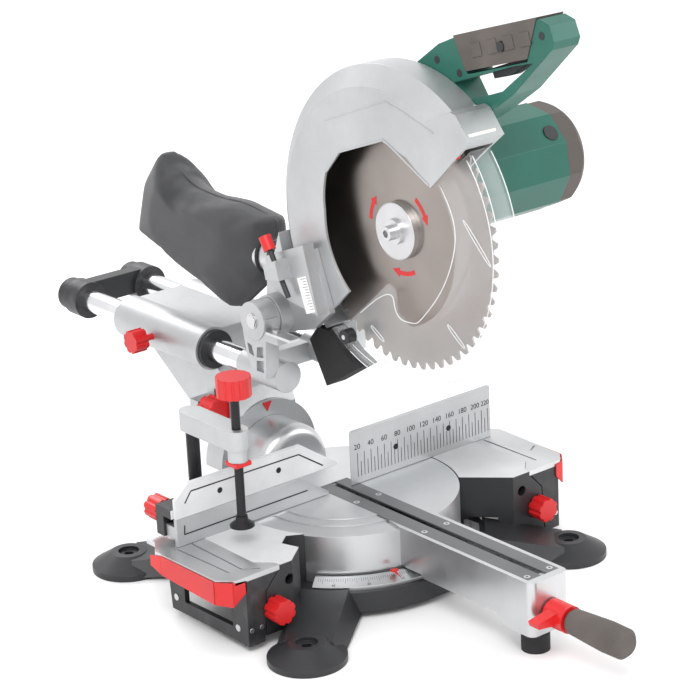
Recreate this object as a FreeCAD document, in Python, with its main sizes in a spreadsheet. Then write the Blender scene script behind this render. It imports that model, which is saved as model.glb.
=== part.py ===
"""Sliding compound mitre saw, in millimetres.

Frame: +X to the operator's right, +Y away from the operator, +Z up. The origin is on the bench,
below the turntable's axis. The fence face is the plane Y = 0 and the blade's plane is X = 0.
"""
import FreeCAD, Part
import math
import os

from FreeCAD import Placement, Rotation, Vector

DIMENSIONS = {
    # base
    "table_top": 90,
    "turntable_radius": 130,
    "recess_radius": 131.5,
    "rear_recess_radius": 146,
    "pan_radius": 157,
    "pan_bottom": 8,
    "pan_top": 32,
    "foot_bolt_across": 191,
    "foot_bolt_along": 165,
    "foot_radius": 43,
    "foot_hole_radius": 5.5,
    "table_side": 198,
    "table_front": 112,
    "table_rear": 50,
    "stop_bore_across": 169,
    "stop_bore_height": 69,
    "stop_bore_radius": 6,
    "clamp_across": 177,
    "clamp_along": 40,
    "clamp_post_radius": 7.5,
    "clamp_reach": 83,
    # fences
    "fence_thickness": 5,
    "fence_split": 122,
    "fence_top": 160,
    "right_fence_top": 154,
    # turntable
    "turntable_bottom": 32.5,
    "turntable_top": 89.6,
    "arm_half_width": 27,
    "arm_end": 336,
    "board_thickness": 2,
    "handle_height": 51,
    "rod_radius": 6,
    "foot_along": 312,
    # bevel
    "trunnion_radius": 50,
    "trunnion_front": 88,
    "trunnion_rear": 140,
    "bevel_shaft_radius": 8,
    "running_gap": 0.05,
    # slide
    "tube_across": 45,
    "tube_height": 227,
    "tube_radius": 14,
    "tube_bore": 11.5,
    "tube_front": 38,
    "tube_rear": 462,
    "socket_radius": 26,
    "socket_front": 177,
    "socket_rear": 345,
    # head
    "pivot_along": 57,
    "pivot_height": 296,
    "hinge_radius": 24,
    "pin_radius": 9,
    "blade_along": -116,
    "blade_height": 420,
    "blade_radius": 152.5,
    "blade_half_plate": 1.2,
    "flange_radius": 31,
    "spindle_radius": 10,
    "guard_rim": 180,
    "guard_face": 158,
    "guard_left": -28,
    "guard_right": 20,
    "wall": 3,
    "clear_guard_radius": 171,
    "gear_module": 1.25,
    "gear_teeth": 50,
    "pinion_teeth": 12,
    "centre_line_angle": 78.1,
    "motor_radius": 60,
    "motor_bore": 50,
    "motor_end": 200,
    "cap_end": 228,
    "shaft_radius": 5,
}

doc = FreeCAD.newDocument("mitre_saw")
sheet = doc.addObject("Spreadsheet::Sheet", "dims")
for row, (alias, number) in enumerate(DIMENSIONS.items(), start=1):
    sheet.set(f"A{row}", alias)
    sheet.set(f"B{row}", str(number))
    sheet.setAlias(f"B{row}", alias)
doc.recompute()

nodes = []


def size(alias):
    """A driving dimension, as a number."""
    return float(sheet.get(alias))


def on_circle(centre, radius, degrees):
    angle = math.radians(degrees)
    return (centre[0] + radius * math.cos(angle), centre[1] + radius * math.sin(angle))


BLADE = (size("blade_along"), size("blade_height"))
PIVOT = (size("pivot_along"), size("pivot_height"))
GEAR_DISTANCE = size("gear_module") * (size("gear_teeth") + size("pinion_teeth")) / 2
MOTOR = on_circle(BLADE, GEAR_DISTANCE, size("centre_line_angle"))
AXIS_TURN = {
    "x": Rotation(Vector(0, 1, 0), 90),
    "y": Rotation(Vector(1, 0, 0), -90),
    "z": Rotation(),
}


def bind(feature, name, amount):
    """Set a property from a number, or bind it to the sheet from an expression."""
    if isinstance(amount, str):
        feature.setExpression(name, amount)
        return
    if "." not in name:
        setattr(feature, name, amount)
        return
    feature.setExpression(name, repr(float(amount)))


def shift(feature, corner):
    for letter, amount in zip("xyz", corner):
        bind(feature, f"Placement.Base.{letter}", amount)
    return feature


def block(name, x, y, z):
    """A box between (low, high) pairs along each axis."""
    box = doc.addObject("Part::Box", name)
    for prop, (low, high) in zip(("Length", "Width", "Height"), (x, y, z)):
        bind(box, prop, f"({high}) - ({low})")
    return shift(box, (x[0], y[0], z[0]))


def rod(name, axis, radius, start, stop, centre):
    """A cylinder along an axis; centre holds its other two coordinates."""
    cylinder = doc.addObject("Part::Cylinder", name)
    bind(cylinder, "Radius", radius)
    bind(cylinder, "Height", f"({stop}) - ({start})")
    cylinder.Placement = Placement(Vector(), AXIS_TURN[axis])
    corner = list(centre)
    corner.insert("xyz".index(axis), start)
    return shift(cylinder, corner)


def cone(name, axis, radii, start, stop, centre):
    taper = doc.addObject("Part::Cone", name)
    bind(taper, "Radius1", radii[0])
    bind(taper, "Radius2", radii[1])
    bind(taper, "Height", f"({stop}) - ({start})")
    taper.Placement = Placement(Vector(), AXIS_TURN[axis])
    corner = list(centre)
    corner.insert("xyz".index(axis), start)
    return shift(taper, corner)


def radial_rod(name, radius, inner, outer, degrees, x, centre):
    """A cylinder that stands out from an axis along X at an angle from +Y."""
    cylinder = doc.addObject("Part::Cylinder", name)
    bind(cylinder, "Radius", radius)
    bind(cylinder, "Height", f"({outer}) - ({inner})")
    start = on_circle(centre, inner, degrees)
    turn = Rotation(Vector(1, 0, 0), degrees - 90)
    cylinder.Placement = Placement(Vector(x, *start), turn)
    return cylinder


def join(name, *pieces):
    fuse = doc.addObject("Part::MultiFuse", name)
    fuse.Shapes = list(pieces)
    fuse.Refine = True
    return fuse


def group(name, *pieces):
    """Separate solids that share a node."""
    compound = doc.addObject("Part::Compound", name)
    compound.Links = list(pieces)
    return compound


def cut(name, base, *tools):
    tool = tools[0] if len(tools) == 1 else join(f"{name}_tools", *tools)
    result = doc.addObject("Part::Cut", name)
    result.Base = base
    result.Tool = tool
    result.Refine = True
    return result


def common(name, first, second):
    result = doc.addObject("Part::Common", name)
    result.Base = first
    result.Tool = second
    return result


def node(piece, label):
    """Name a finished sub-part."""
    piece.Label = label
    nodes.append(piece)
    return piece


PLANES = {"xy": "XY_Plane", "xz": "XZ_Plane", "yz": "YZ_Plane"}


def new_sketch(name, plane, outlines):
    """A body with one sketch. An outline's item is a point, or four numbers: an arc's middle and end."""
    body = doc.addObject("PartDesign::Body", name)
    sketch = body.newObject("Sketcher::SketchObject", f"{name}_sketch")
    origin = [f for f in body.Origin.OriginFeatures if f.Role == PLANES[plane]][0]
    sketch.AttachmentSupport = [(origin, "")]
    sketch.MapMode = "FlatFace"
    for outline in outlines:
        start = Vector(*outline[0][-2:], 0)
        for item in list(outline[1:]) + [outline[0][-2:]]:
            stop = Vector(*item[-2:], 0)
            if len(item) == 4:
                sketch.addGeometry(Part.Arc(start, Vector(*item[:2], 0), stop))
            elif (stop - start).Length > 1e-6:
                sketch.addGeometry(Part.LineSegment(start, stop))
            start = stop
    return body, sketch


def slab(name, plane, low, high, *outlines):
    """A body padded from closed outlines in a plane, between two heights along its third axis."""
    body, sketch = new_sketch(name, plane, outlines)
    offset = f"-({high})" if plane == "xz" else f"{low}"
    sketch.setExpression("AttachmentOffset.Base.z", offset)
    pad = body.newObject("PartDesign::Pad", f"{name}_pad")
    pad.Profile = sketch
    bind(pad, "Length", f"({high}) - ({low})")
    body.Tip = pad
    sketch.Visibility = False
    return body


def lathe(name, axis, outline, centre, degrees=360, middle=0):
    """A body of revolution from (along the axis, radius) points; a part turn is centred on middle."""
    plane = {"x": "xy", "y": "yz", "z": "xz"}[axis]
    points = [item[::-1] for item in outline] if axis == "z" else outline
    body, sketch = new_sketch(name, plane, [points])
    turn = body.newObject("PartDesign::Revolution", f"{name}_turn")
    turn.Profile = sketch
    turn.ReferenceAxis = (sketch, ["V_Axis" if axis == "z" else "H_Axis"])
    turn.Angle = degrees
    turn.Midplane = degrees < 360
    body.Tip = turn
    sketch.Visibility = False
    spot = list(centre)
    spot.insert("xyz".index(axis), 0)
    along = Vector(*(1 if letter == axis else 0 for letter in "xyz"))
    body.Placement = Placement(Vector(*spot), Rotation(along, middle))
    return body


def edges_where(piece, test):
    doc.recompute()
    return [i for i, edge in enumerate(piece.Shape.Edges, start=1) if test(edge)]


def rounded(name, piece, radius, test):
    """Round the edges that pass a test."""
    fillet = doc.addObject("Part::Fillet", name)
    fillet.Base = piece
    fillet.Edges = [(i, radius, radius) for i in edges_where(piece, test)]
    return fillet


def runs_along(edge, direction):
    if edge.Curve.TypeId != "Part::GeomLine":
        return False
    return abs(edge.tangentAt(edge.FirstParameter).dot(direction)) > 0.999


def lobed(name, axis, radius, start, stop, centre, lobes=8, depth=0.12):
    """A hand knob: a round slab with flutes cut in its rim."""
    disc = rod(f"{name}_disc", axis, radius, start, stop, centre)
    flutes = []
    for i in range(lobes):
        spot = on_circle(centre, radius * (1 + depth), 360 * i / lobes)
        flutes.append(rod(f"{name}_flute_{i}", axis, radius * depth * 2, start, stop, spot))
    return cut(name, disc, *flutes)


def mirrored(points):
    return [tuple(-v if i % 2 == 0 else v for i, v in enumerate(p)) for p in points]


# ---------------------------------------------------------------- base


GUIDES = (-80, 13)


def side_table(side):
    """The block under one side table, open below, with its arc round the turntable."""
    inner = size("recess_radius")
    rear = size("rear_recess_radius")
    front_angle = -30.7
    step_angle = 6.1
    rear_angle = 20
    outline = [
        on_circle((0, 0), inner, front_angle),
        (*on_circle((0, 0), inner, 0), *on_circle((0, 0), inner, step_angle)),
        on_circle((0, 0), rear, step_angle),
        (*on_circle((0, 0), rear, 13), *on_circle((0, 0), rear, rear_angle)),
        (size("table_side"), size("table_rear")),
        (size("table_side"), -88),
        (183, -103),
        (181, -size("table_front")),
        (156, -size("table_front")),
    ]
    if side < 0:
        outline[8:] = [(165, -size("table_front")), (139, -91), (146, -70), (130, -57)]
        outline = mirrored(outline)
    name = "right" if side > 0 else "left"
    body = slab(f"table_{name}", "xy", 12, "dims.table_top", outline)
    low, high = sorted((side * 120, side * 210))
    under = block(f"table_under_{name}", (low, high), (-99, 60), (0, 40))
    low, high = sorted((side * 152, side * 190))
    hollow = block(f"table_hollow_{name}", (low, high), (-92, 24), (8, 82))
    lug_outline = [(178, 83.5), (183, 83.5), (200, 65), (203, 14), (178, 14)]
    if side < 0:
        lug_outline = mirrored(lug_outline)
    lug = slab(f"lug_{name}", "xz", "-dims.table_front", -90, lug_outline)
    return join(f"side_{name}", cut(f"table_shell_{name}", body, hollow, under), lug)


def foot(side, end):
    """One bolt-down foot with its arm to the pan."""
    across = side * size("foot_bolt_across")
    along = end * size("foot_bolt_along")
    name = f"{'right' if side > 0 else 'left'}_{'rear' if end > 0 else 'front'}"
    rim = rod(f"rim_{name}", "z", "dims.foot_radius", 0, 7, (across, along))
    crown = cone(f"crown_{name}", "z", ("dims.foot_radius", 20), 7, 21, (across, along))
    reach = math.hypot(across, along)
    outward = Vector(across / reach, along / reach, 0)
    sideways = Vector(-outward.y, outward.x, 0)
    inner_top = 44 if end < 0 else 30
    sections = []
    for spot, half, low, high in ((118, 42, 8, inner_top), (reach - 6, 38, 2, 19)):
        corners = [
            outward * spot + sideways * half + Vector(0, 0, low),
            outward * spot - sideways * half + Vector(0, 0, low),
            outward * spot - sideways * (half * 0.7) + Vector(0, 0, high),
            outward * spot + sideways * (half * 0.7) + Vector(0, 0, high),
        ]
        frame = doc.addObject("Part::Polygon", f"arm_section_{name}")
        frame.Nodes = corners
        frame.Close = True
        sections.append(frame)
    arm = doc.addObject("Part::Loft", f"foot_arm_{name}")
    arm.Sections = sections
    arm.Solid = True
    return join(f"foot_{name}", rim, crown, arm)


def make_base():
    pan = rod("pan", "z", "dims.pan_radius", "dims.pan_bottom", "dims.pan_top", (0, 0))
    feet = join("feet", *[foot(side, end) for side in (-1, 1) for end in (-1, 1)])
    above_pan = rod("above_pan", "z", "dims.pan_radius + 0.3", "dims.pan_top", 60, (0, 0))
    feet = cut("feet_cut", feet, above_pan)
    sides = [side_table(side) for side in (-1, 1)]
    bosses = []
    holes = [rod("pivot_hole", "z", 10, 0, 40, (0, 0))]
    recess = rod("recess", "z", "dims.recess_radius", "dims.pan_top", 95, (0, 0))
    holes.append(recess)
    hollow = [(0, 26), (0, 144), (26, 144), (26, 26)]
    holes.append(lathe("pan_hollow", "z", hollow, (0, 0)))
    for side in (-1, 1):
        tag = "right" if side > 0 else "left"
        spot = (side * size("clamp_across"), size("clamp_along"))
        bosses.append(rod(f"clamp_boss_{tag}", "z", 13, 40, 88, spot))
        holes.append(rod(f"clamp_hole_{tag}", "z", "dims.clamp_post_radius", 42, 95, spot))
        bore = (side * size("stop_bore_across"), "dims.stop_bore_height")
        stop_bore = rod(f"stop_bore_{tag}", "y", "dims.stop_bore_radius", -115, -92, bore)
        holes.append(stop_bore)
        holes.append(rod(f"lock_hole_{tag}", "y", 4.2, -115, -88, (side * 191.8, 43.7)))
        for along in GUIDES:
            low, high = sorted((side * 180, side * 205))
            holes.append(rod(f"guide_hole_{tag}", "x", 6.3, low, high, (along, 60)))
        for end in (-1, 1):
            spot = (side * size("foot_bolt_across"), end * size("foot_bolt_along"))
            holes.append(rod("bolt_hole", "z", "dims.foot_hole_radius", -1, 30, spot))
            holes.append(rod("bolt_seat", "z", 12, 17, 30, spot))
    whole = join("base_whole", pan, feet, *sides, *bosses)
    node(cut("base_cut", whole, *holes), "base_casting")

    ring = [(32, 134), (32, 151), (36, 151), (42, 138), (42, 134)]
    node(lathe("scale_ring", "z", ring, (0, 0), 108, -90), "mitre_scale")

    shank = rod("pivot_shank", "z", 10, "dims.pan_bottom", 56, (0, 0))
    node(shank, "pivot_bolt")


def fence_wedge(name, tip, side):
    """What is cut from a fence's inner end so that it clears the blade at a full mitre."""
    depth = size("fence_thickness") + 0.5
    outline = [(tip, -0.5), (tip + side * 1.28 * depth, depth), (0, depth), (0, -0.5)]
    return slab(name, "xy", 85, 170, outline)


def make_fences():
    split = size("fence_split")
    thick = "dims.fence_thickness"
    lower = [(-233, 90), (-22.7, 90), (-22.7, 93), (-64.5, split - 0.3), (-233, split - 0.3)]
    plate = slab("left_plate", "xz", 0, thick, lower)
    rail = block("left_rail", (-233, -70), (thick, 20), (98, 112))
    seat = block("left_seat", (-198, -150), (thick, 30), (90, 96))
    left = cut("left_cut", join("left_fused", plate, rail, seat), fence_wedge("wedge_a", -22.7, -1))
    node(left, "fence_left")

    upper = [
        (-233, split),
        (-233, 144),
        (-214, size("fence_top")),
        (-60.4, size("fence_top")),
        (-9.4, 124.5),
        (-12, split),
    ]
    plate = slab("upper_plate", "xz", 0, thick, upper)
    head = block("upper_head", (-236, -205), (thick, 34), (split, 132))
    leg = block("upper_leg", (-236, -205), (20.4, 34), (98, split))
    hole = rod("upper_hole", "y", 4.2, 8, 40, (-222, 119))
    body = cut("upper_cut", join("upper_fused", plate, head, leg), fence_wedge("wedge_b", -9.4, -1), hole)
    node(body, "fence_left_upper")

    knob = lobed("fence_knob_head", "y", 14, 36, 58, (-222, 119))
    stud = rod("fence_stud", "y", 4, 22, 36, (-222, 119))
    node(join("fence_knob_fused", knob, stud), "fence_lock_knob")

    plate = block("right_plate", (8.3, 223.6), (0, thick), (90, "dims.right_fence_top"))
    seat = block("right_seat", (150, 198), (thick, 30), (90, 96))
    ribs = [block(f"right_rib_{x}", (x, x + 5), (thick, 26), (96, 130)) for x in (152, 172, 192)]
    body = join("right_fused", plate, seat, *ribs)
    node(cut("right_cut", body, fence_wedge("wedge_c", 8.3, 1)), "fence_right")

    bolts = []
    for i, x in enumerate((-192, -158, 164, 184)):
        bolts.append(rod(f"fence_bolt_{i}", "z", 4, 96, 101, (x, 25)))
    node(group("fence_bolt_group", *bolts), "fence_bolts")


def channel(name, path, width, low, high):
    """A straight-sided groove along a path of points in plan."""
    pieces = []
    for i, (start, stop) in enumerate(zip(path, path[1:])):
        run = Vector(stop[0] - start[0], stop[1] - start[1], 0)
        run.normalize()
        out = Vector(-run.y, run.x, 0) * (width / 2)
        back = run * (width / 3)
        corners = [
            Vector(*start, 0) - back + out,
            Vector(*stop, 0) + back + out,
            Vector(*stop, 0) + back - out,
            Vector(*start, 0) - back - out,
        ]
        pieces.append(slab(f"{name}_{i}", "xy", low, high, [(c.x, c.y) for c in corners]))
    return pieces


def extension(side):
    """One extension table: top plate, bracket with guide rods, and lock knob."""
    tag = "right" if side > 0 else "left"
    seam = size("table_side") + 0.4
    if side > 0:
        corner = [(233.6, -109.3), (243.5, -97.8), (248, 10)]
    else:
        corner = [(240, -112), (255, -96), (257, 10)]
    top = [
        (seam, 46),
        (seam, -88.3),
        (183.6, -103),
        (181.6, -112),
        (230, -112),
        *corner,
        (corner[-1][0] - 14, 30),
        (corner[-1][0] - 14, 46),
    ]
    if side > 0:
        grooves = [[(210.5, -3), (210.5, -92)], [(227.6, -66), (239.6, -59)]]
    else:
        grooves = [[(216, 0), (217, -92), (202, -104.5)], [(236, 1), (232, -90)]]
    front = [(184.2, 84), (201.2, 65.5), (204.4, 16), (206, 8), (227, 8), (227, 84)]
    window = [(-85, 24), (-85, 50), (-78, 55), (3, 55), (3, 22)]
    wall = [(-107, 9), (28, 7), (31, 40), (31, 84), (-107, 84)]
    if side < 0:
        top = mirrored(top)
        front = mirrored(front)
        grooves = [mirrored(path) for path in grooves]
    plate = slab(f"ext_top_{tag}", "xy", 84, 89.7, top)
    cuts = []
    for i, path in enumerate(grooves):
        cuts += channel(f"ext_groove_{tag}_{i}", path, 2.4, 87.7, 91)
    node(cut(f"ext_top_cut_{tag}", plate, *cuts), f"extension_top_{tag}")
    face = slab(f"ext_face_{tag}", "xz", -112, -104, front)
    low, high = sorted((side * 221, side * 227))
    cheek = slab(f"ext_cheek_{tag}", "yz", low, high, wall, window)
    rods = []
    for along in GUIDES:
        start, stop = sorted((side * 153, side * 224))
        rods.append(rod(f"ext_rod_{tag}_{along}", "x", 6, start, stop, (along, 60)))
        boss = sorted((side * 214, side * 223))
        rods.append(rod(f"ext_boss_{tag}_{along}", "x", 9, *boss, (along, 60)))
    node(join(f"ext_bracket_{tag}", face, cheek, *rods), f"extension_bracket_{tag}")
    spot = (side * 191.8, 43.7)
    knob = lobed(f"ext_knob_{tag}", "y", 14, -132, -113, spot)
    stud = rod(f"ext_stud_{tag}", "y", 4, -113, -94, spot)
    node(join(f"ext_knob_fused_{tag}", knob, stud), f"extension_knob_{tag}")


def make_clamp():
    post = (-size("clamp_across"), size("clamp_along"))
    front = size("clamp_along") - size("clamp_reach")
    spindle = (-size("clamp_across"), front)
    node(rod("clamp_rod", "z", "dims.clamp_post_radius", 42, 222, post), "clamp_post")

    outline = [
        (post[0] - 13, post[1]),
        (post[0], post[1] + 13, post[0] + 13, post[1]),
        (spindle[0] + 13, spindle[1]),
        (spindle[0], spindle[1] - 13, spindle[0] - 13, spindle[1]),
    ]
    arm = slab("clamp_bar", "xy", 202, 224, outline)
    nut = rod("clamp_nut", "z", 11, 188, 202, spindle)
    bores = [
        rod("clamp_post_bore", "z", "dims.clamp_post_radius", 200, 222, post),
        rod("clamp_spindle_bore", "z", 5.1, 180, 230, spindle),
    ]
    node(cut("clamp_arm_cut", join("clamp_arm_fused", arm, nut), *bores), "clamp_arm")

    screw = rod("clamp_screw_rod", "z", 5, 122, 262, spindle)
    pad = [(112, 0), (112, 13.5), (114, 13.5), (119, 7), (124, 6.5), (124, 0)]
    foot_pad = lathe("clamp_pad", "z", pad, spindle)
    node(join("clamp_screw_fused", screw, foot_pad), "clamp_spindle")
    knob = lobed("clamp_knob_lobes", "z", 19, 262, 284, spindle, 14, 0.05)
    node(knob, "clamp_knob")


# ---------------------------------------------------------------- turntable


def make_turntable():
    low, top = "dims.turntable_bottom", "dims.turntable_top"
    drum = rod("drum", "z", "dims.turntable_radius", low, top, (0, 0))
    end = -size("arm_end")
    arm_outline = [
        (end, 89.6),
        (end, 28),
        (end + 43, 28),
        (end + 54, 40),
        (-165, 40),
        (-160, 44),
        (-100, 44),
        (-100, 89.6),
    ]
    arm = slab("arm", "yz", "-dims.arm_half_width", "dims.arm_half_width", arm_outline)
    arm = rounded("arm_round", arm, 8, lambda e: runs_along(e, Vector(0, 0, 1)) and e.CenterOfMass.y < -330)
    trunnion = rod(
        "trunnion", "y", "dims.trunnion_radius", "dims.trunnion_front", "dims.trunnion_rear", (0, 90)
    )
    nose_end = size("trunnion_front") + 1
    trunnion = rounded("trunnion_dome", trunnion, 14, lambda e: e.BoundBox.YMax < nose_end)
    below = block("trunnion_below", (-60, 60), (80, 150), (20, 44))
    trunnion = cut("trunnion_cut", trunnion, below)
    whole = join("turntable_whole", drum, arm, trunnion)
    inside = rod("drum_pocket", "z", 118, 30, 79, (0, 0))
    hub = rod("drum_hub", "z", 24, 30, 80, (0, 0))
    keep = block("pocket_keep", (-60, 60), (84, 145), (30, 80))
    pocket = cut("pocket", inside, hub, keep)
    board = size("board_thickness")
    deck = size("turntable_top") - board
    tools = [
        pocket,
        block("board_recess", (-22, 22), (-326, 24), (deck, 95)),
        block("dust_channel", (-9, 12), (-318, 20), (62, deck + 1)),
        rod("pivot_bore", "z", "10 + dims.running_gap", 30, 58, (0, 0)),
        rod("lock_rod_bore", "y", "dims.rod_radius + 0.1", end - 1, -150, (0, "dims.handle_height")),
        block("arm_hollow", (-20, 20), (-290, -172), (38, 80)),
        rod("foot_bore", "z", 6.1, 15, 43, (0, "-dims.foot_along")),
        rod("shaft_bore", "y", "dims.bevel_shaft_radius", 104, 150, (0, 90)),
    ]
    for i, (inner, drop) in enumerate(((86, 1.2), (102, 2.6))):
        ring = [(89.6 - drop, inner), (89.6 - drop, 131), (95, 131), (95, inner)]
        tools.append(lathe(f"drum_step_{i}", "z", ring, (0, 0), 76, -140))
    node(cut("turntable_cut", whole, *tools), "turntable")

    boards = [
        block("board_left", (-22, -3), (-326, 24), (deck, top)),
        block("board_right", (4.8, 22), (-326, 24), (deck, top)),
    ]
    node(group("board_group", *boards), "kerf_boards")

    shaft = rod("shaft", "y", "dims.bevel_shaft_radius", 104, 196, (0, 90))
    nut = rod("shaft_nut", "y", 14, 184, 196, (0, 90))
    node(join("shaft_fused", shaft, nut), "bevel_shaft")

    grip_spot = (0, "dims.handle_height")
    grip_outline = [
        (-448, 0),
        (-448, 12),
        (-443, 16.5),
        (-420, 17),
        (-395, 15.5),
        (-372, 14),
        (-368, 12),
        (-368, 0),
    ]
    grip = lathe("grip", "y", grip_outline, (0, size("handle_height")))
    lock_rod = rod("lock_rod", "y", "dims.rod_radius", -369, -153, grip_spot)
    node(join("mitre_lock_fused", grip, lock_rod), "mitre_lock")

    collar = rod("collar", "y", 15, -366, -338, grip_spot)
    finger = [(-40, 56), (-12, 60), (-12, 46), (-38, 50)]
    tab = slab("collar_tab", "xz", -358, -344, finger)
    bore = rod("collar_bore", "y", 6.3, -370, -330, grip_spot)
    node(cut("collar_cut", join("collar_fused", collar, tab), bore), "detent_lever")

    stud = rod("foot_stud", "z", 6, 14, 37, (0, "-dims.foot_along"))
    pad = rod("foot_pad", "z", 15.5, 0, 21, (0, "-dims.foot_along"))
    node(join("foot_fused", stud, pad), "arm_foot")


# ---------------------------------------------------------------- tilting frame


def make_tilt_frame():
    across, height = size("tube_across"), size("tube_height")
    disc = rod("tilt_disc", "y", 70, "dims.trunnion_rear + 0.5", 172, (0, 90))
    lower = block("tilt_disc_below", (-80, 80), (135, 180), (0, 58))
    notches = [
        block("tilt_notch_left", (-80, -40), (135, 180), (50, 90)),
        block("tilt_notch_right", (40, 80), (135, 180), (50, 90)),
    ]
    disc = cut("tilt_disc_cut", disc, lower, *notches)
    arm_outline = [
        (140.5, 100),
        (140.5, 150),
        (152, 176),
        (178, 205),
        (178, 240),
        (344, 240),
        (344, 212),
        (307, 195),
        (234, 144),
        (176, 100),
    ]
    arm = slab("tilt_arm", "yz", -42, 42, arm_outline)
    ends = ("dims.socket_front", "dims.socket_rear")
    sockets = [
        rod(f"socket_{s}", "y", "dims.socket_radius", *ends, (s * across, height))
        for s in (-1, 1)
    ]
    bridge = block(
        "socket_bridge", (-across, across), ("dims.socket_front", "dims.socket_rear"), (205, 249)
    )
    ear = block("lock_ear", (-66, -38), (186, 202), (140, 164))
    tools = [rod("tilt_bore", "y", "dims.bevel_shaft_radius + dims.running_gap", 130, 185, (0, 90))]
    for s in (-1, 1):
        tools.append(rod(f"tube_hole_{s}", "y", 16, 170, 350, (s * across, height)))
    below = [(182, 96), (182, 178), (200, 196), (296, 196), (250, 140), (200, 90)]
    tools.append(slab("arm_hollow_tilt", "yz", -34, 34, below))
    tools.append(block("bridge_hollow", (-15, 15), (186, 336), (190, 243)))
    tools.append(block("knob_notch", (-80, -35), (158, 186), (130, 174)))
    tools.append(rod("bevel_stud_hole", "y", 4.1, 180, 210, (-54, 152)))
    tools.append(rod("slide_stud_hole", "x", 4.1, -80, -61, (265, height)))
    whole = join("tilt_whole", disc, arm, *sockets, bridge, ear)
    node(cut("tilt_cut", whole, *tools), "tilt_casting")

    inner = size("tube_radius") + size("running_gap")
    sleeves = []
    for s in (-1, 1):
        front = [(171, inner), (171, 23), (177, 23), (177, 16), (197, 16), (197, inner)]
        rear = [(325, inner), (325, 16), (345, 16), (345, 23), (349, 23), (349, inner)]
        sleeves.append(lathe(f"bush_front_{s}", "y", front, (s * across, height)))
        sleeves.append(lathe(f"bush_rear_{s}", "y", rear, (s * across, height)))
    node(group("bush_group", *sleeves), "slide_bushings")

    knob = lobed("bevel_knob_head", "y", 18, 160, 184, (-54, 152))
    stud = rod("bevel_stud", "y", 4, 184, 200, (-54, 152))
    node(join("bevel_knob_fused", knob, stud), "bevel_lock_knob")

    knob = lobed("slide_knob_head", "x", 14, -102, -84, (265, height))
    stud = rod("slide_stud", "x", 4, -84, -63, (265, height))
    node(join("slide_knob_fused", knob, stud), "slide_lock_knob")


# ---------------------------------------------------------------- carriage


def make_carriage():
    across, height = size("tube_across"), size("tube_height")
    tubes = []
    for s in (-1, 1):
        ends = ("dims.tube_front", "dims.tube_rear")
        outer = rod(f"tube_{s}", "y", "dims.tube_radius", *ends, (s * across, height))
        inner = rod(f"tube_bore_{s}", "y", "dims.tube_bore", 30, 470, (s * across, height))
        tubes.append(cut(f"tube_cut_{s}", outer, inner))
    node(group("tube_group", *tubes), "slide_tubes")

    rings = [rod(f"end_ring_{s}", "y", 23, 434, 461, (s * across, height)) for s in (-1, 1)]
    bar = block("end_bar", (-across, across), (438, 457), (219, 248))
    bores = [rod(f"end_bore_{s}", "y", "dims.tube_radius", 430, 465, (s * across, height)) for s in (-1, 1)]
    node(cut("end_cut", join("end_fused", bar, *rings), *bores), "rear_crossbar")
    caps = [rod(f"end_cap_{s}", "y", 20, "dims.tube_rear", 478, (s * across, height)) for s in (-1, 1)]
    node(group("cap_group", *caps), "tube_end_caps")

    sockets = [rod(f"bracket_socket_{s}", "y", 18, 36, 109, (s * across, height)) for s in (-1, 1)]
    web = block("bracket_web", (-across, across), (93, 109), (213, 236))
    cheek = [(38, 232), (62, 232), (72, 256), (77, 282), (72, 302), (34, 302), (36, 262)]
    cheeks = [
        slab("cheek_left", "yz", -74, -56, cheek),
        slab("cheek_right", "yz", 56, 70, cheek),
    ]
    bosses = [
        rod("boss_left", "x", 22, -75, -52, PIVOT),
        rod("boss_right", "x", 24.5, 52, 72, PIVOT),
    ]
    tools = [rod("pin_hole", "x", "dims.pin_radius", -80, 80, PIVOT)]
    pockets = (
        [(42, 238), (55, 238), (54, 250), (41, 252)],
        [(41, 256), (54, 254), (52, 266), (41, 269)],
        [(58, 254), (67, 256), (70, 268), (62, 266)],
    )
    for i, pocket in enumerate(pockets):
        tools.append(slab(f"cheek_pocket_{i}", "yz", -76, -69, pocket))
    for s in (-1, 1):
        tools.append(rod(f"bracket_bore_{s}", "y", "dims.tube_radius", 38, 112, (s * across, height)))
    tools.append(rod("stop_hole", "z", 3, 270, 310, (-69, 22)))
    ear = block("stop_ear", (-74, -62), (14, 40), (277, 287))
    whole = join("bracket_whole", *sockets, web, *cheeks, *bosses, ear)
    node(cut("bracket_cut", whole, *tools), "carriage_bracket")

    node(rod("pin", "x", "dims.pin_radius", -76, 73, PIVOT), "hinge_pin")

    arm = slab("stop_arm", "xy", 287.4, 290.4, [(-77, 30), (-62.5, 30), (-64, -14), (-77, -14)])
    screw = rod("stop_screw", "z", 4, 290.4, 293, (-69, 22))
    node(join("stop_fused", arm, screw), "stop_plate")


# ---------------------------------------------------------------- head


def arc_points(radius, *degrees):
    """Arc items about the blade's centre: each pair of angles is a middle and an end."""
    pairs = zip(degrees[0::2], degrees[1::2])
    return [(*on_circle(BLADE, radius, a), *on_circle(BLADE, radius, b)) for a, b in pairs]


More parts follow.
